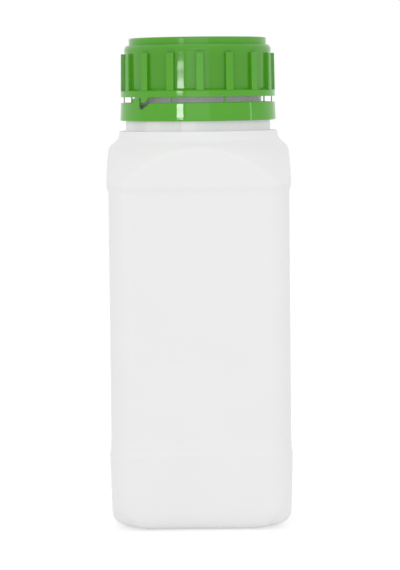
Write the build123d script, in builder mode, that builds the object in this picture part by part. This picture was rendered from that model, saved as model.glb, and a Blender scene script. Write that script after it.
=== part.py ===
"""A square media bottle with a tamper-evident screw cap.

Millimetres. The origin is the centre of the foot, +Z is up and the front face looks along -Y.
The bottle, the tamper ring, the seal liner and the screw cap are separate pieces.
"""

import os
from math import atan2, cos, degrees, radians, sin, sqrt

from build123d import *

# ---------------------------------------------------------------- bottle body
panel_width = 66.7          # across two opposite side panels
corner_radius = 7.5         # upright corners, at the panels
wall = 1.2                  # body wall
foot_narrowing = 0.1        # how far the foot of the base band is inside the panels
base_band_step = 0.55       # how far the top of the base band is outside the panels
base_band_height = 28.2     # foot to the top of the base band
base_lip_step = 0.3         # short steep step at the top of the base band
base_lip_height = 1.8
base_ramp = 5.5             # base band down to panel, lip included
panel_height = 91.5
ledge_height = 2.2          # panel out to shoulder band
shoulder_band_step = 0.65   # how far the shoulder band is outside the panels
band_blend = 3.0            # rounding where bands meet panels
foot_circle = 31.5          # radius of the flat middle of the base
bowl_radius = 14.0          # upward curve of the base towards the corners
bowl_sweep = 75.0           # degrees that the curve turns through
recess_width = 40.0         # push-up in the middle of the base
recess_depth = 1.6
recess_corner = 12.0
recess_taper = 25.0         # degrees
pinch_line_width = 0.9      # weld line left by the mould across the base
pinch_line_height = 0.35

# ------------------------------------------------------------------- shoulder
corner_land = 1.0           # band left under the dome at the upright corners
dome_height = 16.3
dome_radius = 70.0
dome_edge_blend = 2.5       # soft edge between dome and flat sides
pedestal_radius = 29.95
pedestal_height = 2.7
pedestal_blend = 4.0

# ----------------------------------------------------------------------- neck
neck_wall = 1.7
collar_radius = 27.3
collar_height = 5.1
groove_radius = 26.3        # under the retaining bead
groove_height = 2.0
bead_radius = 27.5          # holds the tamper ring down
bead_height = 1.5
bead_slope = 1.6
thread_root_radius = 24.0   # plain neck under the thread
neck_height = 31.5          # pedestal to rim
rim_blend = 0.5
thread_depth = 1.6
thread_pitch = 5.0
thread_turns = 1.6
thread_base = 2.6           # width of the thread at its root
thread_crest = 1.2
thread_bite = 0.4           # how deep the thread is rooted in the wall that carries it
thread_below_rim = 4.0      # rim to the top end of the thread

ratchet_height = 0.6        # teeth on the collar, radially
ratchet_first = -73.9       # degrees from the front, to the right
ratchet_pitch = 30.4
ratchet_count = 3           # teeth in each of two opposite quarters
ratchet_crest = 10.7
ratchet_run = 26.0

# ---------------------------------------------------------------- tamper ring
ring_gap = 2.1              # open gap between ring and cap, crossed by the bridges
ring_height = 6.85
ring_radius = 29.5          # at the bottom
ring_narrowing = 0.3        # smaller at the top
ring_edge = 0.5
ring_clearance = 0.3        # ring to ratchet teeth, and lip to bead
lip_height = 1.4
lip_clearance = 0.4         # lip to the groove it turns in
bridge_count = 9
bridge_first = 20.0         # degrees from the front, to the right
bridge_width = 0.6
bridge_thickness = 0.3
bridge_inset = 0.1          # bridges and blocks, from the ring's bore
block_start = -57.0         # stop block beside each drive notch, degrees from the front
block_height = 1.6
block_inset = 0.15          # from the ring's outside
notch_start = -48.3
notch_end = -38.0
notch_depth = 2.3
notch_floor = 1.6           # level floor before the ramp
notch_rounding = 0.6
notch_rim = 0.35            # bevel round the notch
notch_flare = 45.0          # degrees
seam_angle = 41.6           # moulding seam up the ring, degrees from the front
seam_sweep = 0.8            # degrees
seam_height = 0.12
pawl_length = 2.4
pawl_height = 1.1
pawl_gap = 0.3              # pawl to the ratchet tooth that stops it
second_drive = 200.0        # degrees from the first block, notch and tooth to the second

# ------------------------------------------------------------------ screw cap
skirt_height = 22.1         # cap, from its open edge to its top
cap_wall = 1.75
top_plate = 1.9
flange_height = 3.1
flange_radius = 29.23
flange_slope = 0.9
rib_count = 16
rib_offset = 1.7            # degrees of the first rib from the front
rib_width = 2.9
rib_depth = 1.25
rib_height = 13.1           # above the flange
rib_draft = 0.2
rib_edge = 0.35
disc_radius = 26.0          # flat top disc
disc_height = 2.8
disc_edge = 0.5
shoulder_drop = 2.6         # rounded edge round the top disc
shoulder_inset = 1.0
thread_clearance = 0.35     # cap thread to neck thread, across
thread_play = 0.3           # cap thread to neck thread, along the axis
cap_thread_turns = 1.5
liner_seat_height = 2.6
tooth_start = -46.5
tooth_end = -38.4
tooth_slant = 2.0           # how much narrower its tip is
tooth_thickness = 0.45
tooth_inset = 0.05          # from the flange's outside
tooth_clearance = 0.1       # tooth tip above the ring
gate_radius = 1.6           # moulding mark in the middle of the top
gate_depth = 0.3

# ---------------------------------------------------------------- seal liner
liner_thickness = 1.5
liner_radius = 24.5
liner_clearance = 0.2

FULL_TURN = 360.0
QUARTER_TURN = 90.0
FRONT = -QUARTER_TURN       # direction of the front face, degrees from +X

# ------------------------------------------------------------- derived levels
half_panel = panel_width / 2
corner_axis = half_panel - corner_radius
heel_radius = corner_radius - foot_narrowing
panel_bottom = base_band_height + base_ramp
panel_top = panel_bottom + panel_height
band_bottom = panel_top + ledge_height
corner_reach = corner_axis * sqrt(2) + corner_radius + shoulder_band_step
dome_foot = band_bottom + corner_land
dome_top = dome_foot + dome_height
pedestal_top = dome_top + pedestal_height
rim_top = pedestal_top + neck_height
column_top = pedestal_top + corner_radius

collar_top = pedestal_top + collar_height
bead_bottom = collar_top + groove_height
bead_top = bead_bottom + bead_height
throat_radius = groove_radius - neck_wall
bore_radius = thread_root_radius - neck_wall
thread_end = rim_top - thread_below_rim
thread_start = thread_end - thread_turns * thread_pitch

liner_top = rim_top + liner_thickness
cap_top = liner_top + top_plate
cap_bottom = cap_top - skirt_height
cap_bore = thread_root_radius + thread_depth + thread_clearance
cap_radius = cap_bore + cap_wall
flange_top = cap_bottom + flange_height
disc_bottom = cap_top - disc_height
flank_overlap = (thread_base - thread_crest) / 2 * (1 + thread_clearance / thread_depth)
cap_thread_drop = thread_base - flank_overlap + thread_play

ring_top = cap_bottom - ring_gap
ring_bottom = ring_top - ring_height
ring_bore = collar_radius + ratchet_height + ring_clearance
lip_radius = groove_radius + lip_clearance
lip_top = bead_bottom - ring_clearance


def body_section(inset):
    """The upright section of the square column: heel, base band, panel, shoulder band."""
    foot_half = corner_axis + heel_radius - inset
    base_half = half_panel + base_band_step - inset
    panel_half = half_panel - inset
    shoulder_half = half_panel + shoulder_band_step - inset
    with BuildSketch() as section:
        with BuildLine():
            foot = Line((0, inset), (corner_axis, inset))
            CenterArc((corner_axis, heel_radius), heel_radius - inset, -QUARTER_TURN, QUARTER_TURN)
            side = FilletPolyline(
                (foot_half, heel_radius),
                (base_half, base_band_height),
                (base_half - base_lip_step, base_band_height + base_lip_height),
                (panel_half, panel_bottom),
                (panel_half, panel_top),
                (shoulder_half, band_bottom),
                (shoulder_half, column_top),
                radius=band_blend,
            )
            Polyline(side @ 1, (0, column_top), foot @ 0)
        make_face()
        mirror(about=Plane.YZ)
    return section.sketch


def dome_section(inset):
    """The turned envelope: bowl of the base, dome of the shoulder and pedestal of the neck."""
    slope = atan2(dome_height, corner_reach - pedestal_radius)
    inward = Vector(-sin(slope), -cos(slope)) * inset
    dome_start = Vector(pedestal_radius, dome_top) + inward
    dome_end = Vector(corner_reach, dome_foot) + inward
    with BuildSketch() as section:
        with BuildLine():
            foot = Line((0, inset), (foot_circle, inset))
            bowl = CenterArc((foot_circle, bowl_radius), bowl_radius - inset, -QUARTER_TURN, bowl_sweep)
            dome = RadiusArc(dome_start, dome_end, dome_radius - inset)
            skirt = Line(dome @ 1, dome @ 1 + (dome % 1) * corner_radius)
            Line(bowl @ 1, skirt @ 1)
            throat = (dome_start.X, pedestal_top - inset)
            Polyline(dome @ 0, throat, (0, pedestal_top - inset), foot @ 0)
        make_face()
    return section.sketch


def square_column(section):
    """Sweeps a section round the square: two crossing slabs and four turned corner posts."""
    with BuildPart() as slab:
        with BuildSketch(Plane.XZ):
            add(section)
        extrude(amount=corner_axis, both=True)
    with BuildPart() as post:
        with BuildSketch(Plane.XZ.offset(-corner_axis)):
            add(section)
            split(bisect_by=Plane.YZ.offset(corner_axis))
        upright = Axis((corner_axis, corner_axis, 0), (0, 0, 1))
        revolve(axis=upright, revolution_arc=QUARTER_TURN)
    with BuildPart() as column:
        with PolarLocations(0, 2, angular_range=2 * QUARTER_TURN):
            add(slab.part)
        with PolarLocations(0, 4):
            add(post.part)
    return column.part


def turned(section):
    """Turns a section round the upright axis."""
    with BuildPart() as solid:
        with BuildSketch(Plane.XZ):
            add(section)
        revolve(axis=Axis.Z)
    return solid.part


def polar_point(radius, angle):
    """A point at a radius and an angle in degrees."""
    return (radius * cos(radians(angle)), radius * sin(radians(angle)))


def radial_plane(angle, radius, height):
    """A plane that faces outward, with its x round the axis and its y upward."""
    radial = (cos(radians(angle)), sin(radians(angle)), 0)
    tangent = (-sin(radians(angle)), cos(radians(angle)), 0)
    origin = (*polar_point(radius, angle), height)
    return Plane(origin=origin, x_dir=tangent, z_dir=radial)


def screw_thread(root_radius, depth, start, turns):
    """A right-hand ridge with rounded ends; its depth is negative where it points inward."""
    bite = -thread_bite if depth > 0 else thread_bite
    bite_half = thread_base / 2 + (thread_base - thread_crest) / 2 * thread_bite / abs(depth)
    course = Helix(thread_pitch, turns * thread_pitch, root_radius, center=(0, 0, start))
    with BuildSketch() as half:
        Polygon(
            (bite, 0),
            (depth, 0),
            (depth, thread_crest / 2),
            (bite, bite_half),
            align=None,
        )
    with BuildPart() as ridge:
        for place, angle in ((0, 0), (1, turns * FULL_TURN)):
            radial = (*polar_point(1, angle), 0)
            end = Plane(origin=course @ place, x_dir=radial, z_dir=course % place)
            with BuildSketch(end):
                add(half.sketch)
            revolve(axis=Axis(end.origin, end.x_dir))
        with BuildSketch(Plane(origin=course @ 0, x_dir=(1, 0, 0), z_dir=course % 0)):
            add(half.sketch)
            mirror(about=Plane.XZ)
        sweep(path=course, is_frenet=True)
    return ridge.part


outer_column = square_column(body_section(0))
outer_dome = turned(dome_section(0))
inner_column = square_column(body_section(wall))
inner_dome = turned(dome_section(wall))

with BuildPart() as outer_form:
    add(outer_dome)
    circles = outer_form.edges().filter_by(GeomType.CIRCLE)
    dome_neck = circles.sort_by_distance((0, pedestal_radius, dome_top))[0]
    fillet(dome_neck, pedestal_blend)
    add(outer_column, mode=Mode.INTERSECT)
    arches = outer_form.edges().filter_by_position(Axis.Z, band_bottom, dome_top)
    arches = arches.filter_by(GeomType.BSPLINE)
    fillet(arches, dome_edge_blend)

with BuildPart() as cavity:
    add(inner_column)
    add(inner_dome, mode=Mode.INTERSECT)

neck_thread = screw_thread(thread_root_radius, thread_depth, thread_start, thread_turns)
cap_thread = screw_thread(cap_bore, -thread_depth, thread_start - cap_thread_drop, cap_thread_turns)

with BuildSketch() as ratchet_tooth:
    with BuildLine():
        crest_radius = collar_radius + ratchet_height
        step = Line((groove_radius, 0), (crest_radius, 0))
        crest = CenterArc((0, 0), crest_radius, 0, ratchet_crest)
        ramp = Line(crest @ 1, polar_point(collar_radius, ratchet_run))
        Line(ramp @ 1, step @ 0)
    make_face()

with BuildPart() as bottle:
    add(outer_form.part)
    add(cavity.part, mode=Mode.SUBTRACT)
    with BuildSketch(Plane.XY.offset(wall / 2)):
        raised_width = recess_width + 2 * wall
        RectangleRounded(raised_width, raised_width, recess_corner + wall)
    extrude(amount=recess_depth + wall / 2, taper=recess_taper)
    with BuildSketch(Plane.XY):
        RectangleRounded(recess_width, recess_width, recess_corner)
    extrude(amount=recess_depth, taper=recess_taper, mode=Mode.SUBTRACT)
    with BuildSketch(Plane.XY.offset(recess_depth - pinch_line_height)):
        Rectangle(pinch_line_width, recess_width - 2 * recess_depth)
    extrude(amount=pinch_line_height + wall / 2)
    with BuildSketch(Plane.XY):
        Rectangle(pinch_line_width, panel_width)
        Rectangle(recess_width, recess_width, mode=Mode.SUBTRACT)
    extrude(amount=pinch_line_height, mode=Mode.SUBTRACT)
    with BuildSketch(Plane.XY.offset(pedestal_top)):
        Circle(throat_radius)
    extrude(amount=-pedestal_height, mode=Mode.SUBTRACT)
    with BuildSketch(Plane.XZ):
        Polygon(
            (throat_radius, pedestal_top - wall),
            (collar_radius, pedestal_top - wall),
            (collar_radius, collar_top),
            (groove_radius, collar_top),
            (groove_radius, bead_bottom),
            (bead_radius, bead_bottom),
            (bead_radius, bead_top),
            (thread_root_radius, bead_top + bead_slope),
            (thread_root_radius, rim_top),
            (bore_radius, rim_top),
            (bore_radius, bead_bottom + bead_slope),
            (throat_radius, bead_bottom),
            align=None,
        )
    revolve(axis=Axis.Z)
    fillet(bottle.edges().filter_by_position(Axis.Z, rim_top, rim_top), rim_blend)
    add(neck_thread)
    with BuildSketch(Plane.XY.offset(pedestal_top)):
        with PolarLocations(0, 2):
            with PolarLocations(
                0,
                ratchet_count,
                start_angle=FRONT + ratchet_first,
                angular_range=ratchet_count * ratchet_pitch,
            ):
                add(ratchet_tooth.sketch)
    extrude(amount=collar_height)

notch_middle = (notch_start + notch_end) / 2
notch_half = ring_radius * radians(notch_end - notch_start) / 2

with BuildPart() as stop_block:
    block_radius = ring_radius - ring_narrowing - block_inset
    block_plane = Plane.XZ.rotated((0, 0, FRONT + block_start))
    with BuildSketch(block_plane):
        Polygon(
            (ring_bore + bridge_inset, ring_top - block_height),
            (block_radius, ring_top - block_height),
            (block_radius, ring_top + block_height),
            (ring_bore + bridge_inset, ring_top + block_height),
            align=None,
        )
    revolve(axis=Axis.Z, revolution_arc=notch_middle - block_start)

with BuildSketch() as notch_outline:
    Polygon(
        (-notch_half, notch_depth),
        (-notch_half, -notch_depth),
        (notch_floor - notch_half, -notch_depth),
        (notch_half, 0),
        (notch_half, notch_depth),
        align=None,
    )
    floor_corners = notch_outline.vertices().group_by(Axis.Y)[0]
    fillet(floor_corners, notch_rounding)

with BuildPart() as notch:
    rim_radius = ring_radius - ring_narrowing - notch_rim
    with BuildSketch(radial_plane(FRONT + notch_middle, ring_bore - lip_height, ring_top)):
        add(notch_outline.sketch)
    extrude(amount=ring_radius)
    with BuildSketch(radial_plane(FRONT + notch_middle, rim_radius, ring_top)):
        add(notch_outline.sketch)
    extrude(amount=2 * notch_rim, taper=-notch_flare)

with BuildPart() as seam:
    with BuildSketch(Plane.XZ.rotated((0, 0, FRONT + seam_angle))):
        Polygon(
            (ring_bore + bridge_inset, ring_bottom + ring_edge),
            (ring_radius + seam_height, ring_bottom + ring_edge),
            (ring_radius - ring_narrowing + seam_height, ring_top - ring_edge),
            (ring_bore + bridge_inset, ring_top - ring_edge),
            align=None,
        )
    revolve(axis=Axis.Z, revolution_arc=seam_sweep)

with BuildPart() as tamper_ring:
    with BuildSketch(Plane.XZ):
        Polygon(
            (ring_bore, ring_bottom),
            (ring_radius, ring_bottom),
            (ring_radius - ring_narrowing, ring_top),
            (ring_bore, ring_top),
            (ring_bore, lip_top),
            (lip_radius, lip_top),
            (lip_radius, lip_top - lip_height),
            (ring_bore, lip_top - lip_height),
            align=None,
        )
    revolve(axis=Axis.Z)
    outer_edges = tamper_ring.edges().filter_by(GeomType.CIRCLE).group_by(SortBy.RADIUS)[-2:]
    fillet(outer_edges[0] + outer_edges[1], ring_edge)
    with PolarLocations(0, 2, angular_range=2 * second_drive):
        add(stop_block.part)
        add(notch.part, mode=Mode.SUBTRACT)
    add(seam.part)
    with BuildSketch(Plane.XY.offset(ring_top)):
        bridge_radius = ring_bore + bridge_inset + bridge_thickness / 2
        with PolarLocations(bridge_radius, bridge_count, start_angle=FRONT + bridge_first):
            Rectangle(bridge_thickness, bridge_width)
    extrude(amount=ring_gap)
    with BuildSketch(Plane.XY.offset(ring_bottom)):
        pawl_reach = ratchet_height + ring_clearance - pawl_gap
        pawl_turn = degrees((pawl_length / 2 + pawl_gap) / collar_radius)
        with PolarLocations(0, 2):
            with PolarLocations(
                ring_bore,
                ratchet_count,
                start_angle=FRONT + ratchet_first - pawl_turn,
                angular_range=ratchet_count * ratchet_pitch,
            ):
                Rectangle(2 * pawl_reach, pawl_length)
    extrude(amount=pawl_height)

with BuildPart() as rib:
    rib_root = cap_radius - rib_edge
    rib_reach = cap_radius + rib_depth
    with BuildSketch(Plane.XZ):
        Polygon(
            (rib_root, flange_top - flange_slope),
            (rib_reach + rib_draft, flange_top - flange_slope),
            (rib_reach, flange_top + rib_height),
            (rib_root, flange_top + rib_height),
            align=None,
        )
    extrude(amount=rib_width / 2, both=True)
    outer_face = rib.faces().sort_by(Axis.X)[-1]
    fillet(outer_face.edges(), rib_edge)

with BuildPart() as drive_tooth:
    tooth_middle = (tooth_start + tooth_end) / 2
    tooth_half = flange_radius * radians(tooth_end - tooth_start) / 2
    tooth_reach = ring_gap - tooth_clearance
    with BuildSketch(radial_plane(FRONT + tooth_middle, bead_radius, cap_bottom)):
        Polygon(
            (-tooth_half, flange_height / 2),
            (-tooth_half, -tooth_reach),
            (tooth_half - tooth_slant, -tooth_reach),
            (tooth_half, 0),
            (tooth_half, flange_height / 2),
            align=None,
        )
    extrude(amount=ring_radius)
    with BuildSketch(Plane.XY.offset(ring_top)):
        Circle(flange_radius - tooth_inset)
        Circle(flange_radius - tooth_inset - tooth_thickness, mode=Mode.SUBTRACT)
    extrude(amount=ring_gap + flange_height / 2, mode=Mode.INTERSECT)

with BuildPart() as screw_cap:
    with BuildSketch(Plane.XZ):
        with BuildLine():
            edge = RadiusArc(
                (disc_radius + shoulder_inset, disc_bottom),
                (cap_radius, disc_bottom - shoulder_drop),
                shoulder_drop,
            )
            Polyline(
                edge @ 1,
                (cap_radius, flange_top),
                (flange_radius, flange_top - flange_slope),
                (flange_radius, cap_bottom),
                (cap_bore, cap_bottom),
                (cap_bore, liner_top - liner_seat_height),
                (liner_radius + liner_clearance, liner_top - liner_seat_height),
                (liner_radius + liner_clearance, liner_top),
                (0, liner_top),
                (0, cap_top),
                (disc_radius, cap_top),
                (disc_radius, disc_bottom),
                edge @ 0,
            )
        make_face()
    revolve(axis=Axis.Z)
    fillet(screw_cap.edges().filter_by_position(Axis.Z, cap_top, cap_top), disc_edge)
    with PolarLocations(0, rib_count, start_angle=FRONT + rib_offset):
        add(rib.part)
    with PolarLocations(0, 2, angular_range=2 * second_drive):
        add(drive_tooth.part)
    add(cap_thread)
    with BuildSketch(Plane.XY.offset(cap_top)):
        Circle(gate_radius)
    extrude(amount=-gate_depth, mode=Mode.SUBTRACT)

with BuildPart() as seal_liner:
    with BuildSketch(Plane.XY.offset(rim_top)):
        Circle(liner_radius)
    extrude(amount=liner_thickness)

os.makedirs("parts", exist_ok=True)

bottle.part.label = "bottle"
export_step(bottle.part, "parts/bottle.step")

tamper_ring.part.label = "tamper_ring"
export_step(tamper_ring.part, "parts/tamper_ring.step")

screw_cap.part.label = "screw_cap"
export_step(screw_cap.part, "parts/screw_cap.step")

seal_liner.part.label = "seal_liner"
export_step(seal_liner.part, "parts/seal_liner.step")
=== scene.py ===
"""Looks for a square media bottle: satin white body, glossy green cap and tamper ring."""

from math import pi, radians

import bpy
from mathutils import Matrix, Vector


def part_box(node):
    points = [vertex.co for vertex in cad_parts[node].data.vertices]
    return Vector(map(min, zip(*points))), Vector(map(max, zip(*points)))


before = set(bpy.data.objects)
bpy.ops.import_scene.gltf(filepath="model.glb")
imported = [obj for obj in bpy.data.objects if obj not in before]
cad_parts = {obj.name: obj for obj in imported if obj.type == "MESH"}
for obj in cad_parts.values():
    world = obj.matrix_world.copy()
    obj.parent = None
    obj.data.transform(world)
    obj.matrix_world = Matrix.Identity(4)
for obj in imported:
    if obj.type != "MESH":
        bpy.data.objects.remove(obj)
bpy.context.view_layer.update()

# ------------------------------------------------------------------ the photograph's view
LENS = 146.8                    # millimetres, on a sensor as long as the image
SENSOR = 36.0
LENS_DROP = -0.1                # shifts the view down, so that the camera pitches less
CAMERA_SIDE = 0.0003
CAMERA_DISTANCE = 0.8817
CAMERA_HEIGHT = 0.1628
AIM_HEIGHT = 0.1103             # where the lens's axis meets the bottle's own axis
CAMERA_ROLL = radians(-0.59)    # the bottle leans to the left by this much
NEAR_CLIP = 0.01

# ------------------------------------------------------------------ light
WHITE = (1.0, 1.0, 1.0, 1.0)
ROOM_FILL = 0.815               # what the white room gives to matt surfaces
FLOOR_SIZE = 6.0
FLOOR_COLOUR = (0.9, 0.9, 0.9, 1.0)
FLOOR_GLOW = 1.68               # strength of the glow mixed into the matt floor
GLOW_SHARE = 0.29               # share of it that is seen, so that the floor shows white
BOUNCE_SHARE = 0.11             # share of it that lights the heel, as a lit table does
LAMP_AIM = (0.0, 0.0, 0.12)
PANEL_SIZE = 1.2                # large soft panels above and in front
TOP_PANEL = (0.0, -0.3, 1.3)
TOP_POWER = 1.9
FRONT_PANEL = (0.0, -1.9, 0.5)
FRONT_POWER = 2.8
WINDOW = (-0.535, -1.09)        # beside the camera, mirrored in the cap's left side
WINDOW_WIDTH = 0.2
WINDOW_GLOW = 48.0              # watts per square metre
WINDOW_PANES = (                # middle height and height of each pane
    (0.1672, 0.0115),
    (0.1844, 0.006),
    (0.248, 0.015),
)

# ------------------------------------------------------------------ levels read off the frame
_, cap_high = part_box("screw_cap")
_, bottle_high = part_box("bottle")
FLANGE_RADIUS = cap_high.x
WALL_RADIUS = FLANGE_RADIUS * 0.945   # where the cap's ribs start
CROWN = cap_high.z * 0.96             # where the cap's wall turns in to its top
RIB_FOOT = cap_high.z * 0.896         # lower end of the cap's ribs
RIB_BLEND = 0.0005                    # how gradually their wear starts there
SHOULDER_BAND = bottle_high.z * 0.71  # lower edge of the band under the shoulder
BASE_BAND = bottle_high.z * 0.158     # upper edge of the band round the base
BAND_WEAR = 0.0022                    # how far wear spreads from a band's edge
HEEL = bottle_high.z * 0.07           # the heel's creases are softened up to here
HEEL_SOFTNESS = 0.003
SEAM_TURN = radians(41.6) - pi / 2    # the ring's moulding seam, from the right-hand side
SEAM_HALF = radians(0.9)

# ------------------------------------------------------------------ colours and finish
BODY_SHADES = ((0.845, 0.847, 0.845), (0.862, 0.864, 0.862))
BODY_ROUGHNESS = (0.33, 0.4)
BODY_DEPTH = 0.0015                   # how deep light goes into the white plastic
BODY_DEPTH_SHARE = 0.1
SCUFF_WEAR = 0.15                     # roughness that scuffs add along the bands
WAVE_HEIGHT = 0.00012                 # slow unevenness of the blown walls
DIE_LINE_HEIGHT = 0.000012            # streaks left by the blowing die
BODY_GRAIN = 0.000008
GREEN_SHADES = ((0.062, 0.31, 0.005), (0.068, 0.328, 0.008))
PAINTED_SHEEN_GREEN = (0.08, 0.385, 0.01)   # painted sheen: ribs, rims and crown painted lighter, in patches
SEAM_GREEN = (0.27, 0.6, 0.2)
GREEN_ROUGHNESS = (0.03, 0.045)
RIB_WEAR = 0.1                        # roughness that handling adds to the ribs
SINK_HEIGHT = 0.000006                # shallow hollows where the moulding shrank
GREEN_GRAIN = 0.0000005
FOAM_SHADES = ((0.78, 0.78, 0.75), (0.86, 0.86, 0.84))
FOAM_ROUGHNESS = 0.75
FOAM_CELL_HEIGHT = 0.00006
POLYETHYLENE_IOR = 1.5
POLYPROPYLENE_IOR = 1.49


def add_camera():
    data = bpy.data.cameras.new("camera")
    data.sensor_fit = "AUTO"
    data.sensor_width = SENSOR
    data.lens = LENS
    data.shift_y = LENS_DROP
    data.clip_start = NEAR_CLIP
    camera = bpy.data.objects.new("camera", data)
    bpy.context.collection.objects.link(camera)
    place = Vector((CAMERA_SIDE, -CAMERA_DISTANCE, CAMERA_HEIGHT))
    aim = Vector((CAMERA_SIDE, 0.0, AIM_HEIGHT))
    turn = (aim - place).to_track_quat("-Z", "Y").to_matrix().to_4x4()
    camera.matrix_world = Matrix.Translation(place) @ turn @ Matrix.Rotation(CAMERA_ROLL, 4, "Z")
    bpy.context.scene.camera = camera


class Nodes:
    """Short calls for building the nodes of one material."""

    def __init__(self, material):
        material.use_nodes = True
        self.tree = material.node_tree
        self.tree.nodes.clear()
        self.place = self.add("ShaderNodeTexCoord").outputs["Object"]

    def add(self, kind, **settings):
        node = self.tree.nodes.new(kind)
        for name, value in settings.items():
            setattr(node, name, value)
        return node

    def link(self, out, into):
        self.tree.links.new(out, into)

    def noise(self, scale, detail=2.0, stretch=(1, 1, 1)):
        mapping = self.add("ShaderNodeMapping")
        mapping.inputs["Scale"].default_value = stretch
        self.link(self.place, mapping.inputs["Vector"])
        node = self.add("ShaderNodeTexNoise")
        node.inputs["Scale"].default_value = scale
        node.inputs["Detail"].default_value = detail
        self.link(mapping.outputs[0], node.inputs["Vector"])
        return node.outputs["Fac"]

    def ramp(self, value, low, high, start=0.3, end=0.7):
        node = self.add("ShaderNodeMapRange", clamp=True)
        node.inputs["From Min"].default_value = start
        node.inputs["From Max"].default_value = end
        node.inputs["To Min"].default_value = low
        node.inputs["To Max"].default_value = high
        self.link(value, node.inputs["Value"])
        return node.outputs["Result"]

    def maths(self, operation, first, second=None):
        node = self.add("ShaderNodeMath", operation=operation)
        for socket, value in zip(node.inputs, (first, second)):
            if isinstance(value, (int, float)):
                socket.default_value = value
            elif value is not None:
                self.link(value, socket)
        return node.outputs[0]

    def blend(self, share, low, high):
        """A colour between two others, each a triple or another node's output."""
        node = self.add("ShaderNodeMix", data_type="RGBA")
        self.link(share, node.inputs["Factor"])
        for name, colour in (("A", low), ("B", high)):
            socket = [s for s in node.inputs if s.name == name and s.type == "RGBA"][0]
            if isinstance(colour, tuple):
                socket.default_value = (*colour, 1.0)
            else:
                self.link(colour, socket)
        return [s for s in node.outputs if s.type == "RGBA"][0]

    def bump(self, height, distance, normal=None):
        node = self.add("ShaderNodeBump")
        node.inputs["Distance"].default_value = distance
        self.link(height, node.inputs["Height"])
        if normal:
            self.link(normal, node.inputs["Normal"])
        return node.outputs["Normal"]

    def near(self, value, level, reach):
        """One at a level, falling to none at a reach above or below it."""
        apart = self.maths("ABSOLUTE", self.maths("SUBTRACT", value, level))
        return self.ramp(apart, 1.0, 0.0, start=0.0, end=reach)

    def surface(self, shader):
        output = self.add("ShaderNodeOutputMaterial")
        self.link(shader.outputs[0], output.inputs["Surface"])


def moulded_white():
    """Opaque white polyethylene, blow-moulded: satin, with faint streaks down the walls."""
    material = bpy.data.materials.new("bottle_white")
    make = Nodes(material)
    shader = make.add("ShaderNodeBsdfPrincipled")
    shader.inputs["IOR"].default_value = POLYETHYLENE_IOR
    shader.inputs["Subsurface Weight"].default_value = BODY_DEPTH_SHARE
    shader.inputs["Subsurface Radius"].default_value = (1.0, 1.0, 1.0)
    shader.inputs["Subsurface Scale"].default_value = BODY_DEPTH

    mottle = make.ramp(make.noise(scale=38.0, detail=3.0), 0.0, 1.0)
    make.link(make.blend(mottle, *BODY_SHADES), shader.inputs["Base Color"])

    height = make.add("ShaderNodeSeparateXYZ")
    make.link(make.place, height.inputs[0])
    upper_band = make.near(height.outputs["Z"], SHOULDER_BAND, BAND_WEAR)
    lower_band = make.near(height.outputs["Z"], BASE_BAND, BAND_WEAR)
    patches = make.ramp(make.noise(scale=420.0, detail=4.0), 0.0, 1.0, start=0.45, end=0.7)
    scuffs = make.maths("MULTIPLY", make.maths("MAXIMUM", upper_band, lower_band), patches)
    streaks = make.noise(scale=160.0, detail=3.0, stretch=(1, 1, 0.03))
    worn = make.ramp(scuffs, 0.0, SCUFF_WEAR, start=0.0, end=1.0)
    satin = make.maths("ADD", make.ramp(streaks, *BODY_ROUGHNESS), worn)
    make.link(satin, shader.inputs["Roughness"])

    soft = make.add("ShaderNodeBevel", samples=8)
    soft.inputs["Radius"].default_value = HEEL_SOFTNESS
    shape = make.add("ShaderNodeNewGeometry").outputs["Normal"]
    heel = make.ramp(height.outputs["Z"], 1.0, 0.0, start=HEEL, end=HEEL + HEEL_SOFTNESS)
    form = make.blend(heel, shape, soft.outputs["Normal"])
    swell = make.noise(scale=26.0, detail=1.0, stretch=(1, 1, 0.5))
    waves = make.bump(swell, WAVE_HEIGHT, normal=form)
    dies = make.bump(streaks, DIE_LINE_HEIGHT, normal=waves)
    skin = make.bump(make.noise(scale=2400.0), BODY_GRAIN, normal=dies)
    make.link(skin, shader.inputs["Normal"])
    make.surface(shader)
    return material


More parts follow.
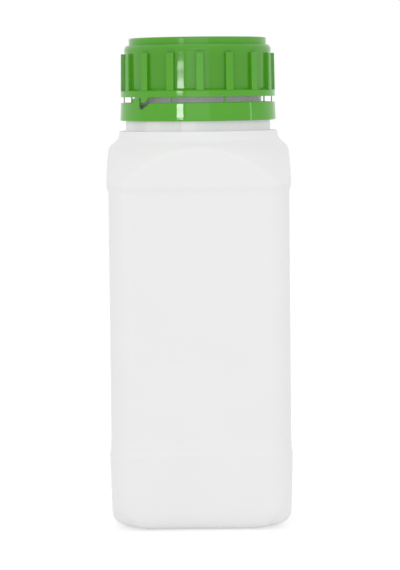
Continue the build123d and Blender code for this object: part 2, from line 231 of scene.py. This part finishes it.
def moulded_green(name, wear, seam):
    """Green polypropylene, injection-moulded and glossy, with a painted sheen that makes ribs, rims
    and crown lighter.

    wear is the roughness that handling adds to the ribs, and seam is how strongly the
    moulding seam shows.
    """
    material = bpy.data.materials.new(name)
    make = Nodes(material)
    shader = make.add("ShaderNodeBsdfPrincipled")
    shader.inputs["IOR"].default_value = POLYPROPYLENE_IOR

    height = make.add("ShaderNodeSeparateXYZ")
    make.link(make.place, height.inputs[0])
    flat = make.add("ShaderNodeMapping")
    flat.inputs["Scale"].default_value = (1, 1, 0)
    make.link(make.place, flat.inputs["Vector"])
    radius = make.add("ShaderNodeVectorMath", operation="LENGTH")
    make.link(flat.outputs[0], radius.inputs[0])
    outside = make.ramp(radius.outputs["Value"], 0.0, 1.0, start=WALL_RADIUS, end=FLANGE_RADIUS)
    crown = make.ramp(height.outputs["Z"], 0.0, 1.0, start=CROWN, end=cap_high.z)
    # mask for the painted sheen on the ribs, rims and crown, also used for the ribs' wear roughness
    outward_sheen_and_wear = make.maths("MAXIMUM", outside, crown)
    patches = make.ramp(make.noise(scale=180.0, detail=4.0), 0.75, 1.0)
    patchy_sheen_and_wear = make.maths("MULTIPLY", outward_sheen_and_wear, patches)

    flow = make.ramp(make.noise(scale=70.0, detail=3.0, stretch=(1, 1, 0.3)), 0.0, 1.0)
    # painted sheen: the masked ribs, rims and crown are painted lighter green
    colour = make.blend(patchy_sheen_and_wear, make.blend(flow, *GREEN_SHADES), PAINTED_SHEEN_GREEN)
    turn = make.maths("ARCTAN2", height.outputs["Y"], height.outputs["X"])
    line = make.ramp(make.near(turn, SEAM_TURN, SEAM_HALF), 0.0, seam, start=0.0, end=1.0)
    make.link(make.blend(line, colour, SEAM_GREEN), shader.inputs["Base Color"])

    ribs = make.ramp(height.outputs["Z"], 0.0, wear, start=RIB_FOOT, end=RIB_FOOT + RIB_BLEND)
    worn = make.maths("MULTIPLY", patchy_sheen_and_wear, ribs)
    polish = make.maths("ADD", make.ramp(make.noise(scale=120.0), *GREEN_ROUGHNESS), worn)
    make.link(polish, shader.inputs["Roughness"])

    sinks = make.bump(make.noise(scale=110.0, detail=1.0), SINK_HEIGHT)
    skin = make.bump(make.noise(scale=3000.0), GREEN_GRAIN, normal=sinks)
    make.link(skin, shader.inputs["Normal"])
    make.surface(shader)
    return material


def foam_liner():
    """Off-white polyethylene foam with fine cells."""
    material = bpy.data.materials.new("liner_foam")
    make = Nodes(material)
    cells = make.add("ShaderNodeTexVoronoi")
    cells.inputs["Scale"].default_value = 1400.0
    make.link(make.place, cells.inputs["Vector"])
    shader = make.add("ShaderNodeBsdfPrincipled")
    shader.inputs["Roughness"].default_value = FOAM_ROUGHNESS
    tone = make.blend(make.ramp(make.noise(scale=300.0), 0.0, 1.0), *FOAM_SHADES)
    make.link(tone, shader.inputs["Base Color"])
    make.link(make.bump(cells.outputs["Distance"], FOAM_CELL_HEIGHT), shader.inputs["Normal"])
    make.surface(shader)
    return material


def dress(node, material):
    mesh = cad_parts[node].data
    mesh.materials.clear()
    mesh.materials.append(material)


def shows_white(tree):
    """One for the rays that show the surroundings as they look, none for those that only light."""
    path = tree.nodes.new("ShaderNodeLightPath")
    share = path.outputs["Is Camera Ray"]
    for kind in ("Is Glossy Ray", "Is Transmission Ray"):
        either = tree.nodes.new("ShaderNodeMath")
        either.operation = "MAXIMUM"
        tree.links.new(share, either.inputs[0])
        tree.links.new(path.outputs[kind], either.inputs[1])
        share = either.outputs[0]
    return share


def add_room():
    """A white room: plain white to look at, a little less as a source of light."""
    world = bpy.data.worlds.new("room")
    bpy.context.scene.world = world
    world.use_nodes = True
    tree = world.node_tree
    tree.nodes.clear()
    mix = tree.nodes.new("ShaderNodeMixShader")
    tree.links.new(shows_white(tree), mix.inputs["Fac"])
    for socket, strength in ((mix.inputs[1], ROOM_FILL), (mix.inputs[2], 1.0)):
        light = tree.nodes.new("ShaderNodeBackground")
        light.inputs["Color"].default_value = WHITE
        light.inputs["Strength"].default_value = strength
        tree.links.new(light.outputs[0], socket)
    output = tree.nodes.new("ShaderNodeOutputWorld")
    tree.links.new(mix.outputs[0], output.inputs["Surface"])


def add_floor():
    """A matt white floor that shows as plain white, keeps the contact shadow and glows a little."""
    half = FLOOR_SIZE / 2
    mesh = bpy.data.meshes.new("floor")
    corners = [(-half, -half, 0), (half, -half, 0), (half, half, 0), (-half, half, 0)]
    mesh.from_pydata(corners, [], [(0, 1, 2, 3)])
    floor = bpy.data.objects.new("floor", mesh)
    bpy.context.collection.objects.link(floor)
    material = bpy.data.materials.new("floor")
    material.use_nodes = True
    tree = material.node_tree
    tree.nodes.clear()
    matt = tree.nodes.new("ShaderNodeBsdfDiffuse")
    matt.inputs["Color"].default_value = FLOOR_COLOUR
    glow = tree.nodes.new("ShaderNodeEmission")
    glow.inputs["Color"].default_value = WHITE
    glow.inputs["Strength"].default_value = FLOOR_GLOW
    seen = tree.nodes.new("ShaderNodeMath")
    seen.operation = "MULTIPLY"
    seen.inputs[1].default_value = GLOW_SHARE
    tree.links.new(shows_white(tree), seen.inputs[0])
    share = tree.nodes.new("ShaderNodeMath")
    share.operation = "MAXIMUM"
    share.inputs[1].default_value = BOUNCE_SHARE
    tree.links.new(seen.outputs[0], share.inputs[0])
    mix = tree.nodes.new("ShaderNodeMixShader")
    tree.links.new(share.outputs[0], mix.inputs["Fac"])
    tree.links.new(matt.outputs[0], mix.inputs[1])
    tree.links.new(glow.outputs[0], mix.inputs[2])
    output = tree.nodes.new("ShaderNodeOutputMaterial")
    tree.links.new(mix.outputs[0], output.inputs["Surface"])
    mesh.materials.append(material)


def add_softbox(name, place, width, height, power):
    data = bpy.data.lights.new(name, "AREA")
    data.shape = "RECTANGLE"
    data.size = width
    data.size_y = height
    data.energy = power
    lamp = bpy.data.objects.new(name, data)
    bpy.context.collection.objects.link(lamp)
    place = Vector(place)
    turn = (Vector(LAMP_AIM) - place).to_track_quat("-Z", "Y").to_matrix().to_4x4()
    lamp.matrix_world = Matrix.Translation(place) @ turn


add_camera()
add_room()
add_floor()
add_softbox("top", TOP_PANEL, PANEL_SIZE, PANEL_SIZE, TOP_POWER)
add_softbox("front", FRONT_PANEL, PANEL_SIZE, PANEL_SIZE, FRONT_POWER)
for middle, tall in WINDOW_PANES:
    power = WINDOW_GLOW * WINDOW_WIDTH * tall
    add_softbox("window pane", (*WINDOW, middle), WINDOW_WIDTH, tall, power)

dress("bottle", moulded_white())
dress("tamper_ring", moulded_green("ring_green", wear=0.0, seam=1.0))
dress("screw_cap", moulded_green("closure_green", wear=RIB_WEAR, seam=0.0))
dress("seal_liner", foam_liner())

bpy.context.scene.view_settings.view_transform = "Standard"
